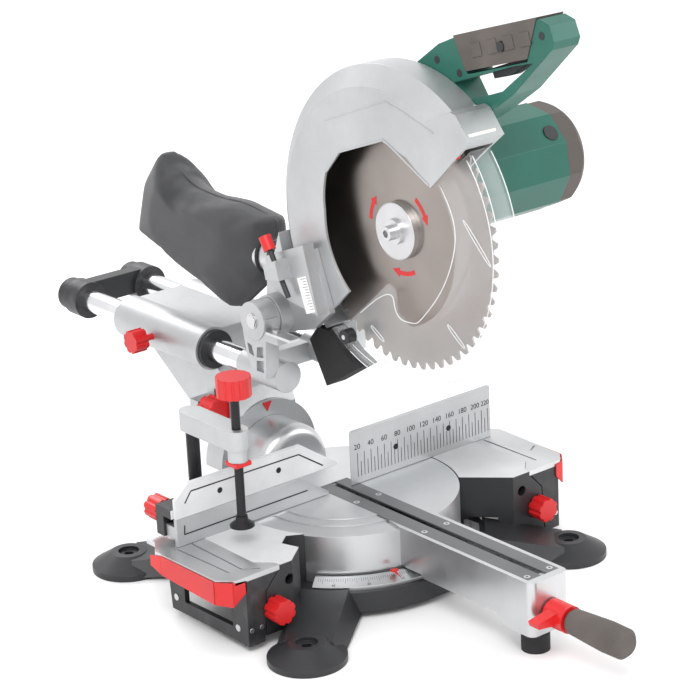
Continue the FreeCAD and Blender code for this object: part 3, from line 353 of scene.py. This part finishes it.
TURNTABLE_AXIS = (0, 0, 0)
CAST_BLACK = (0.018, 0.019, 0.021)
STEEL_BLACK = (0.02, 0.02, 0.022)
STEEL = (0.62, 0.62, 0.63)
TURNED = (0.60, 0.61, 0.62)
RED = (0.60, 0.012, 0.014)
TABLE_TOP_START = 0.0893
FENCE_BACK_START = 0.0058
STOP_TIP = Vector((-0.058, 0.010, 0.330))
STOP_TOP = Vector((-0.058, 0.043, 0.385))
STOP_RUN = tuple((STOP_TOP - STOP_TIP).normalized())
STOP_MARK = STOP_TIP.dot(Vector(STOP_RUN)) + 0.056
M = {
    "casting": cast_metal("casting_silver", (0.50, 0.51, 0.52)),
    "table": turned_metal("table_turned", TURNED, "Z", TURNTABLE_AXIS),
    "scale": brushed_metal("scale_plate", (0.62, 0.63, 0.64), "x", 0.35),
    "black": painted("casting_black", CAST_BLACK, 0.42, 0.22, 0.0012, wear=0.06),
    "black_steel": painted("steel_black", STEEL_BLACK, 0.35, 0.1, 0.0004, 0.6),
    "steel_x": brushed_metal("steel_along_x", STEEL, "x"),
    "steel_y": brushed_metal("steel_along_y", STEEL, "y"),
    "steel_z": brushed_metal("steel_along_z", STEEL, "z"),
    "chrome": brushed_metal("tube_chrome", (0.78, 0.79, 0.80), "y", 0.14),
    "red": painted("plastic_red", RED, 0.36, 0.15, 0.0008),
    # Black plastic, also used for painted shade in the handle's screw wells.
    "black_plastic": painted("plastic_black_and_shade", (0.016, 0.017, 0.019), 0.45, 0.25, 0.0008),
    "green": painted("plastic_green", (0.006, 0.105, 0.075), 0.36, 0.18, 0.0012),
    "grip": rubber("grip_rubber", (0.105, 0.09, 0.082)),
    "rubber": rubber("rubber_black", (0.014, 0.014, 0.015)),
    "board": painted("board_grey", (0.10, 0.105, 0.11), 0.3, 0.15, 0.0004),
    "blade": blade_steel("blade_steel", (0.33, 0.295, 0.275)),
    # The clear guard's pale colour, opaque at edge-on views, is a painted sheen.
    "clear": clear_plastic("guard_clear", (0.9, 0.93, 0.94), 0.03, 0.26),
    # Near-opaque white for the clear guard's edge beads: a painted highlight along its rims.
    "clear_edge_highlight": clear_plastic("guard_edge_highlight", (0.93, 0.95, 0.96), 0.7, 0.9),
    "taupe": painted("plastic_taupe", (0.075, 0.062, 0.055), 0.5, 0.3, 0.0008),
    "lamp": painted("lamp_lens", (0.85, 0.84, 0.74), 0.2, 0.1, 0.0002),
    "base_tone": split_tone(
        "base_two_tone", CAST_BLACK, (0.56, 0.57, 0.58), (0, 0, 1), TABLE_TOP_START
    ),
    "fence_tone": split_tone("fence_two_tone", TURNED, STEEL_BLACK, (0, 1, 0), FENCE_BACK_START),
    "stop_tone": split_tone("stop_two_tone", STEEL_BLACK, RED, STOP_RUN, STOP_MARK),
    "bag": woven("bag_cloth", (0.030, 0.031, 0.034)),
    "iron": painted("laminations", (0.16, 0.15, 0.145), 0.5, 0.3, 0.0003, 0.7),
    "white": painted("marking_white", (0.8, 0.8, 0.8), 0.5, 0.05, 0),
    # Black for printed marks, also used as painted shade in the fence grooves and screw sockets.
    "ink_and_shade": painted("marking_and_shade_black", (0.01, 0.01, 0.01), 0.5, 0.05, 0),
}

LOOKS = {
    "casting": "fence_left fence_right tilt_casting carriage_bracket upper_guard gear_case "
    "head_casting clamp_arm",
    "table": "turntable extension_top_left extension_top_right",
    "scale": "mitre_scale",
    "black": "extension_bracket_left extension_bracket_right rear_crossbar",
    "base_tone": "base_casting",
    "fence_tone": "fence_left_upper",
    "stop_tone": "depth_stop_screw",
    "black_steel": "fence_bolts clamp_post clamp_spindle",
    "steel_x": "hinge_pin spindle drive_gear return_spring bearings blade_flanges stop_plate "
    "blade_bolt",
    "steel_y": "bevel_shaft dust_port",
    "steel_z": "pivot_bolt",
    "chrome": "slide_tubes",
    "red": "detent_lever bevel_lock_knob fence_lock_knob slide_lock_knob "
    "extension_knob_left extension_knob_right clamp_knob",
    "black_plastic": "slide_bushings tube_end_caps brushes guard_roller lock_off_button trigger",
    "green": "motor_housing handle_shell",
    "taupe": "motor_end_cap",
    "grip": "handle_grip mitre_lock",
    "rubber": "arm_foot chip_flap cord_gland",
    "board": "kerf_boards",
    "blade": "saw_blade",
    "clear": "lower_guard",
    "bag": "dust_bag",
    "iron": "stator motor_rotor",
}

for look, names in LOOKS.items():
    for name in names.split():
        NODES[name].data.materials.clear()
        NODES[name].data.materials.append(M[look])


# ---------------------------------------------------------------- pieces built on the frame


def place_piece(name, mesh, look, body, edge=0.0003):
    """A mesh with its material and, if wanted, softened edges, riding on a body."""
    piece = bpy.data.objects.new(name, mesh)
    bpy.context.scene.collection.objects.link(piece)
    mesh.materials.append(M[look])
    if edge:
        bevel = piece.modifiers.new("edge", "BEVEL")
        bevel.width = edge
        bevel.segments = 2
        bevel.limit_method = "ANGLE"
    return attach(piece, body)


def add_prism(bm, corners, push):
    """A closed prism: a ring of corner points pushed along a vector, all in millimetres."""
    near = [bm.verts.new(Vector(c) * MM) for c in corners]
    far = [bm.verts.new((Vector(c) + Vector(push)) * MM) for c in corners]
    count = len(near)
    bm.faces.new(near)
    bm.faces.new(far[::-1])
    for i in range(count):
        j = (i + 1) % count
        bm.faces.new((near[j], near[i], far[i], far[j]))


def built(name, shapes, look, body, edge=0.0003):
    """One piece out of several prisms."""
    bm = bmesh.new()
    for corners, push in shapes:
        add_prism(bm, corners, push)
    bmesh.ops.recalc_face_normals(bm, faces=bm.faces)
    mesh = bpy.data.meshes.new(name)
    bm.to_mesh(mesh)
    bm.free()
    return place_piece(name, mesh, look, body, edge)


def bar(low, high):
    """A box between two corners, as a ring and a push."""
    (x0, y0, z0), (x1, y1, z1) = low, high
    return [(x0, y0, z0), (x1, y0, z0), (x1, y0, z1), (x0, y0, z1)], (0, y1 - y0, 0)


def disc(centre, axis, radius, depth, sides=24, turn=0.0, narrow=1.0):
    """A round, or with few sides a hexagonal, stud from centre along axis."""
    axis = Vector(axis).normalized()
    side = axis.orthogonal().normalized()
    other = axis.cross(side)
    ring = []
    for i in range(sides):
        a = turn + math.tau * i / sides
        ring.append(Vector(centre) + radius * (math.cos(a) * side + math.sin(a) * other))
    return ring, axis * depth


def stripe(x, path, width, depth):
    """Flat bars along a path of (y, z) points standing on the plane at x."""
    shapes = []
    for (y0, z0), (y1, z1) in zip(path, path[1:]):
        run = Vector((0, y1 - y0, z1 - z0)).normalized()
        out = X.cross(run) * (width / 2)
        a, b = Vector((x, y0, z0)) - run * 0.3, Vector((x, y1, z1)) + run * 0.3
        shapes.append(([a + out, b + out, b - out, a - out], (depth, 0, 0)))
    return shapes


def words(name, items, look, body):
    """Figures as one flat mesh: items are (text, size, place, right, up) in millimetres."""
    bm = bmesh.new()
    for text, height, place, right, up in items:
        data = bpy.data.curves.new("figures", "FONT")
        data.body = text
        data.size = height
        data.align_x, data.align_y = "CENTER", "CENTER"
        data.extrude = 0.06
        data.resolution_u = 3
        holder = bpy.data.objects.new("figures", data)
        bpy.context.scene.collection.objects.link(holder)
        bpy.context.view_layer.update()
        mesh = bpy.data.meshes.new_from_object(holder)
        right, up = Vector(right).normalized(), Vector(up).normalized()
        turn = Matrix((right, up, right.cross(up))).transposed().to_4x4()
        mesh.transform(Matrix.Scale(MM, 4) @ Matrix.Translation(Vector(place)) @ turn)
        bm.from_mesh(mesh)
        bpy.data.objects.remove(holder)
        bpy.data.curves.remove(data)
        bpy.data.meshes.remove(mesh)
    mesh = bpy.data.meshes.new(name)
    bm.to_mesh(mesh)
    bm.free()
    return place_piece(name, mesh, look, body, 0)


def wire(name, points, radius, look, body, cyclic=False):
    """A thin round bead along points in millimetres."""
    data = bpy.data.curves.new(name, "CURVE")
    data.dimensions = "3D"
    data.bevel_depth = radius * MM
    data.bevel_resolution = 3
    data.resolution_u = 6
    line = data.splines.new("NURBS")
    line.points.add(len(points) - 1)
    for spot, point in zip(line.points, points):
        spot.co = (*(Vector(point) * MM), 1)
    line.order_u = 3
    line.use_endpoint_u = not cyclic
    line.use_cyclic_u = cyclic
    holder = bpy.data.objects.new(name + "_curve", data)
    bpy.context.scene.collection.objects.link(holder)
    bpy.context.view_layer.update()
    mesh = bpy.data.meshes.new_from_object(holder)
    mesh.name = name
    bpy.data.objects.remove(holder)
    return place_piece(name, mesh, look, body, 0)


def on_blade(radius, degrees, x):
    """A point round the blade's axis, in millimetres."""
    a = math.radians(degrees)
    return (x, BLADE.y / MM + radius * math.cos(a), BLADE.z / MM + radius * math.sin(a))


def make_rulers():
    """Marks, figures and screws of the right fence; screws of the left one, with black strips of
    painted shade along its grooves.
    """
    half_tick, tick_foot, long_tick, short_tick = 0.28, 98, 127, 116
    ticks = []
    for value in range(20, 224, 5):
        top = long_tick if value % 10 == 0 else short_tick
        ticks.append(bar((value - half_tick, -0.2, tick_foot), (value + half_tick, 0.1, top)))
    built("ruler_ticks", ticks, "ink_and_shade", "base", 0)
    figure_height = 134.5
    items = [(str(v), 9.2, (v, -0.12, figure_height), X, Z) for v in range(20, 201, 20)]
    items.append(("220", 8.6, (215.8, -0.12, figure_height), X, Z))
    words("ruler_figures", items, "ink_and_shade", "base")
    holes = [disc((x, 0.1, 119), (0, -1, 0), 3.6, 0.35) for x in (77, 158)]
    built("fence_screw_heads", holes, "black_steel", "base", 0.0002)
    # The groove paths are drawn as thin black strips: painted shade where the grooves are recessed.
    upper = [(-220.6, 138), (-211.6, 150), (-63.6, 149.5), (-30.3, 126.7)]
    lower = [(-222.6, 113), (-223.5, 102.5), (-53.6, 103.4)]
    for name, path, body in (("upper", upper, "upper_fence"), ("lower", lower, "base")):
        lines = []
        for (x0, z0), (x1, z1) in zip(path, path[1:]):
            run = Vector((x1 - x0, 0, z1 - z0)).normalized()
            out = Y.cross(run) * 0.8
            a, b = Vector((x0, -0.15, z0)), Vector((x1, -0.15, z1))
            lines.append(([a + out, b + out, b - out, a - out], (0, 0.25, 0)))
        built(f"fence_groove_shade_{name}", lines, "ink_and_shade", body, 0)
    spots = ((-173.4, 139.6), (-92.5, 139.1))
    heads = [disc((x, 0.1, z), (0, -1, 0), 3.4, 0.35) for x, z in spots]
    built("upper_fence_screws", heads, "black_steel", "upper_fence", 0.0002)


def make_scale():
    """Degree marks and figures on the sloping rim plate."""
    ticks, items = [], []

    def spot(radius, degrees):
        a = math.radians(degrees - 90)
        height = 42 - 6 * (radius - 138) / 13
        return Vector((radius * math.cos(a), radius * math.sin(a), height))

    for angle in range(-52, 53):
        reach = 145.5 if angle % 5 == 0 else 143
        inner, outer = spot(139.2, angle), spot(reach, angle)
        across = Vector((math.cos(math.radians(angle)), math.sin(math.radians(angle)), 0)) * 0.16
        ring = [inner - across, inner + across, outer + across, outer - across]
        ticks.append((ring, (0, 0, 0.18)))
    built("mitre_marks", ticks, "ink_and_shade", "base", 0)
    for angle in (-45, -30, -15, 0, 15, 30, 45):
        a = math.radians(angle)
        right = Vector((math.cos(a), math.sin(a), 0))
        up = (spot(139, angle) - spot(150, angle)).normalized()
        items.append((str(abs(angle)), 4.2, spot(148.2, angle) + Vector((0, 0, 0.12)), right, up))
    words("mitre_figures", items, "ink_and_shade", "base")


def make_table_trim():
    """The red mitre pointer, the screws of the kerf boards and painted shade in their sockets."""
    pointer = [(-46, -137, 45.5), (-43, -137, 45.5), (-44.4, -148, 41.2)]
    tab = bar((-48, -138.5, 45.4), (-40, -133, 47.5))
    built("mitre_pointer", [(pointer, (0, 0, 1.2)), tab], "red", "turntable")
    heads, slots = [], []
    for x, y in ((-16, -156), (-16, -318), (16, -156), (16, -318), (-16, -40), (16, -40)):
        heads.append(disc((x, y, 89.5), Z, 3.6, 0.35))
        # Dark hex discs in the screw heads: painted shade standing in for the recessed sockets.
        slots.append(disc((x, y, 89.8), Z, 1.4, 0.1, 6))
    built("board_screws", heads, "steel_x", "turntable", 0.0002)
    built("board_screw_socket_shade", slots, "ink_and_shade", "turntable", 0)


def make_trims():
    """The red corner bands and rivets of both extension tables."""
    for tag, side in (("left", -1), ("right", 1)):
        edge = 257 if side < 0 else 248
        front = ((243, -112), (225, -112)) if side < 0 else ((233.6, -110.5), (222, -112.4))
        path = [(edge, 18), (edge, -2), (edge - 1.5, -96), *front]
        heights = [(72, 84), (66, 88), (62, 88), (60, 88), (72, 86)]
        shapes = []
        for i in range(len(path) - 1):
            (x0, y0), (x1, y1) = path[i], path[i + 1]
            a, b = Vector((side * x0, y0, 0)), Vector((side * x1, y1, 0))
            run = (b - a).normalized()
            out = run.cross(Z) * (1.6 * side)
            (l0, h0), (l1, h1) = heights[i], heights[i + 1]
            corners = [a + Z * l0, b + Z * l1, b + Z * h1, a + Z * h0]
            shapes.append((corners, -out if (out.x * side) < 0 else out))
        built(f"corner_band_{tag}", shapes, "red", f"extension_{tag}", 0.0006)
        rivets = [disc((side * 226.8, y, z), X * side, 4, 0.9) for y, z in ((19, 23), (-94, 25))]
        rivets += [disc((side * x, -111.8, 26), (0, -1, 0), 3, 0.8) for x in (209, 222)]
        built(f"bracket_rivets_{tag}", rivets, "steel_x", f"extension_{tag}", 0.0003)


def make_blade_marks():
    """Curved arrows that show the turn of the blade, and the flange's rim."""
    face, lift = -1.35, (0.12, 0, 0)
    for n, (tail, head) in enumerate(((4, 40), (125, 163), (-118, -73))):
        shapes = []
        sweep = head - tail
        body_stop = tail + sweep * 0.68
        steps = 7
        points = [tail + (body_stop - tail) * i / steps for i in range(steps + 1)]
        for a, b in zip(points, points[1:]):
            spots = ((45, a), (45, b), (50, b), (50, a))
            shapes.append(([on_blade(r, d, face) for r, d in spots], lift))
        tip = ((42, body_stop), (47.5, head), (53, body_stop))
        shapes.append(([on_blade(r, d, face) for r, d in tip], lift))
        built(f"turn_arrow_{n}", shapes, "red", "blade", 0)
    rim = [on_blade(31, d, -7.6) for d in range(0, 360, 12)]
    wire("flange_rim", rim, 0.8, "steel_x", "blade", True)


def make_guard_lines():
    """Moulded steps of the upper guard, and near-white beads on the edges and slots of the clear
    guard, whose whiteness is a painted highlight.
    """
    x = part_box("upper_guard")[0].x / MM
    step = [(-30, 530), (-131, 567), (-157, 561), (-206, 546)]
    lip = [(-30, 474), (-52, 499), (-127, 525.5), (-143, 518), (-196, 490)]
    built("guard_step", stripe(x + 0.15, step, 1.8, -0.7), "casting", "head", 0.0003)
    built("guard_lip", stripe(x + 0.15, lip, 2.4, -0.9), "casting", "head", 0.0004)
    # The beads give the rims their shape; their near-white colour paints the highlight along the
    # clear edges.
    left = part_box("lower_guard")[0].x / MM
    inner = [(-197, 488), (-210, 471), (-221, 444), (-216, 412), (-195, 370)]
    inner += [(-158, 330), (-149, 326), (-119, 325), (-115, 364), (-60, 318)]
    path = [(left - 0.1, y, z) for y, z in inner]
    wire("clear_inner_edge", path, 0.55, "clear_edge_highlight", "lower_guard")
    slots = (((-232, 457), (-272, 416)), ((-203, 338), (-229, 318)), ((-77, 307), (-98, 294)))
    for n, (a, b) in enumerate(slots):
        run = Vector((0, b[0] - a[0], b[1] - a[1])).normalized()
        out = X.cross(run) * 2.1
        loop = [Vector((left - 0.1, *a)) + out, Vector((left - 0.1, *b)) + out]
        loop += [Vector((left - 0.1, *b)) - out, Vector((left - 0.1, *a)) - out]
        wire(f"clear_slot_{n}", loop, 0.4, "clear_edge_highlight", "lower_guard", True)
    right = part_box("lower_guard")[1].x / MM
    rims = (("outer", 170.4, left + 0.3), ("far", 170.4, right - 0.3), ("step", 160, left - 0.1))
    for name, radius, x in rims:
        arc = [on_blade(radius, d, x) for d in range(141, 298, 4)]
        wire(f"clear_rim_{name}", arc, 0.5, "clear_edge_highlight", "lower_guard")
    hub = disc((-26.1, -43.3, 288.8), (-1, 0, 0), 3, 0.8, 6)
    built("roller_screw", [hub], "steel_x", "lower_guard", 0.0002)


def make_head_details():
    """The depth plate with its marks, the work lamp and the line light."""
    strip = [(-50.2, 3, 352), (-50.2, -13, 358), (-50.2, -27, 320), (-50.2, -11, 314)]
    built("depth_plate", [(strip, (-0.5, 0, 0))], "white", "head", 0.0002)
    marks = []
    for i in range(12):
        t = (i + 0.7) / 12.4
        a = Vector((-50.75, -12, 357)).lerp(Vector((-50.75, -25.5, 321)), t)
        b = a + Vector((0, 9 if i % 3 == 0 else 6, -3 if i % 3 == 0 else -2))
        up = Vector((0, 0.2, 0.45))
        marks.append(([a, b, b + up, a + up], (-0.12, 0, 0)))
    built("depth_marks", marks, "ink_and_shade", "head", 0)
    built("work_lamp", [bar((-24, -256.5, 545.5), (12, -252, 552))], "lamp", "head", 0.0006)
    built("line_light", [disc((-24, -240, 527), (-1, 0, 0), 2.6, 3.2)], "red", "head", 0.0003)


def make_motor_details():
    """Ribs and screws of the motor's end cap."""
    centre = mid("motor_end_cap") / MM
    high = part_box("motor_end_cap")[1]
    ribs = []
    for i in range(24):
        a = math.tau * i / 24
        out = Vector((0, math.cos(a), math.sin(a)))
        side = Vector((0, -math.sin(a), math.cos(a))) * 1.1
        middle = Vector((high.x / MM - 0.2, centre.y, centre.z))
        base, tip = middle + out * 22, middle + out * 42
        ribs.append(([base - side, tip - side, tip + side, base + side], (1.2, 0, 0)))
    built("cap_ribs", ribs, "taupe", "head", 0.0004)
    corners = ((34, 34), (-34, 34), (34, -34), (-34, -34))
    face = high.x / MM - 0.3
    screws = [disc((face, centre.y + y, centre.z + z), X, 3, 1.0, 6) for y, z in corners]
    built("cap_screws", screws, "steel_x", "head", 0.0003)


def make_handle_details():
    """Painted shade for the screw wells on both sides of the handle, as dark discs, and the pads of
    the grip.
    """
    left, right = 20.4, 56.1
    spots = ((-160, 606), (-194, 597), (-316, 652), (-232, 566), (-176, 560))
    # Dark discs on the handle's faces: painted shade standing in for the recessed screw wells.
    well_shade_discs = [disc((left + 0.2, y, z), (-1, 0, 0), 4.2, 0.35) for y, z in spots]
    well_shade_discs += [disc((right - 0.2, y, z), X, 4.2, 0.35) for y, z in spots]
    built("handle_screw_well_shade", well_shade_discs, "black_plastic", "head", 0.0003)
    ribs = []
    for i in range(4):
        t = (i + 0.6) / 4.2
        a = Vector((19.4, -200, 619)).lerp(Vector((19.4, -300, 648)), t)
        run = Vector((0, -100, 29)).normalized()
        out = X.cross(run) * 7
        ends = [a + out, a + run * 15 + out, a + run * 15 - out, a - out]
        ribs.append((ends, (-0.8, 0, 0)))
    built("grip_pads", ribs, "grip", "head", 0.0012)


def make_hinge_details():
    """The pivot's nut and the red bevel pointer."""
    nut = disc((-76.2, 57, 296), (-1, 0, 0), 8, 0.9, 6)
    built("pivot_nut", [nut], "steel_x", "carriage", 0.0005)
    pointer = [(-7, 139.6, 158), (7, 139.6, 158), (0, 139.6, 146)]
    built("bevel_pointer", [(pointer, (0, 0.7, 0))], "red", "tilt_frame", 0.0003)


def make_clamp_details():
    """Thread and release tab of the clamp."""
    turns = []
    for i in range(150):
        a = math.tau * i / 10
        turns.append((-177 + 4.6 * math.cos(a), -43 + 4.6 * math.sin(a), 128 + i * 0.36))
    wire("clamp_thread", turns, 0.45, "black_steel", "clamp_spindle")
    built("clamp_tab", [bar((-187.5, -53.5, 182.6), (-166.5, -33, 187.8))], "red", "clamp", 0.0012)


BAG_VOXEL = 0.006
BAG_PRESSURE = 4
BAG_FRAMES = 20
BAG_LARGEST_MOVE = 0.012
COLLAR_RADIUS = 24.5


def make_bag():
    """The cloth bag: swollen from a slim pillow, then trimmed with piping and a collar."""
    rim = [(92, 340), (90, 388), (155, 402), (250, 411), (316, 436), (348, 392), (367, 326)]
    rim += [(262, 290), (172, 264), (120, 305)]
    centre = Vector((-3, sum(p[0] for p in rim) / len(rim), sum(p[1] for p in rim) / len(rim)))
    layers = []
    bm = bmesh.new()
    for x, shrink in ((-27, 0.84), (-16, 0.97), (-3, 1.0), (10, 0.97), (21, 0.84)):
        ring = []
        for y, z in rim:
            spot = Vector((x, y, z))
            flat = centre + (spot - centre) * shrink
            ring.append(bm.verts.new(Vector((x, flat.y, flat.z)) * MM))
        layers.append(ring)
    count = len(rim)
    for low, high in zip(layers, layers[1:]):
        for i in range(count):
            j = (i + 1) % count
            bm.faces.new((low[i], low[j], high[j], high[i]))
    bm.faces.new(layers[0][::-1])
    bm.faces.new(layers[-1])
    bmesh.ops.recalc_face_normals(bm, faces=bm.faces)
    mesh = bpy.data.meshes.new("cloth_bag")
    bm.to_mesh(mesh)
    bm.free()
    bag = bpy.data.objects.new("cloth_bag", mesh)
    bpy.context.scene.collection.objects.link(bag)
    bpy.context.view_layer.objects.active = bag
    bag.select_set(True)
    remesh = bag.modifiers.new("remesh", "REMESH")
    remesh.mode = "VOXEL"
    remesh.voxel_size = BAG_VOXEL
    bpy.ops.object.modifier_apply(modifier="remesh")
    start = [v.co.copy() for v in bag.data.vertices]
    cloth = bag.modifiers.new("cloth", "CLOTH")
    cloth.settings.use_pressure = True
    cloth.settings.uniform_pressure_force = BAG_PRESSURE
    cloth.settings.quality = 5
    cloth.settings.effector_weights.gravity = 0
    cloth.point_cache.frame_start, cloth.point_cache.frame_end = 1, BAG_FRAMES
    scene = bpy.context.scene
    for frame_number in range(1, BAG_FRAMES + 1):
        scene.frame_set(frame_number)
    shown = bag.evaluated_get(bpy.context.evaluated_depsgraph_get())
    moved = [v.co.copy() for v in shown.data.vertices]
    bag.modifiers.remove(cloth)
    scene.frame_set(1)
    for vertex, old, new in zip(bag.data.vertices, start, moved):
        shift = new - old
        vertex.co = old + shift * min(1, BAG_LARGEST_MOVE / max(shift.length, 1e-9))
    folds = bag.modifiers.new("folds", "SMOOTH")
    folds.iterations = 2
    fine = bag.modifiers.new("fine", "SUBSURF")
    fine.levels = fine.render_levels = 1
    bag.data.materials.clear()
    bag.data.materials.append(M["bag"])
    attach(bag, "head")
    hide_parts("dust_bag")
    for polygon in bag.data.polygons:
        polygon.use_smooth = True
    farthest = {}
    for vertex in bag.data.vertices:
        spot = vertex.co / MM - centre
        if abs(spot.x) > 4:
            continue
        sector = round(math.degrees(math.atan2(spot.z, spot.y)) / 10)
        reach = math.hypot(spot.y, spot.z)
        if reach > farthest.get(sector, (0, None))[0]:
            farthest[sector] = (reach, (-3, spot.y + centre.y, spot.z + centre.z))
    seam = [farthest[sector][1] for sector in sorted(farthest)]
    wire("bag_piping", seam, 1.3, "bag", "head", True)
    hoop = []
    for i in range(16):
        a = math.tau * i / 16
        across, up = COLLAR_RADIUS * math.cos(a), COLLAR_RADIUS * math.sin(a)
        hoop.append((-4 + across, 106, 348 + up))
    wire("bag_collar", hoop, 2.2, "rubber", "head", True)


make_camera()
make_studio()
make_rulers()
make_scale()
make_table_trim()
make_trims()
make_blade_marks()
make_guard_lines()
make_head_details()
make_motor_details()
make_handle_details()
make_hinge_details()
make_clamp_details()
make_bag()
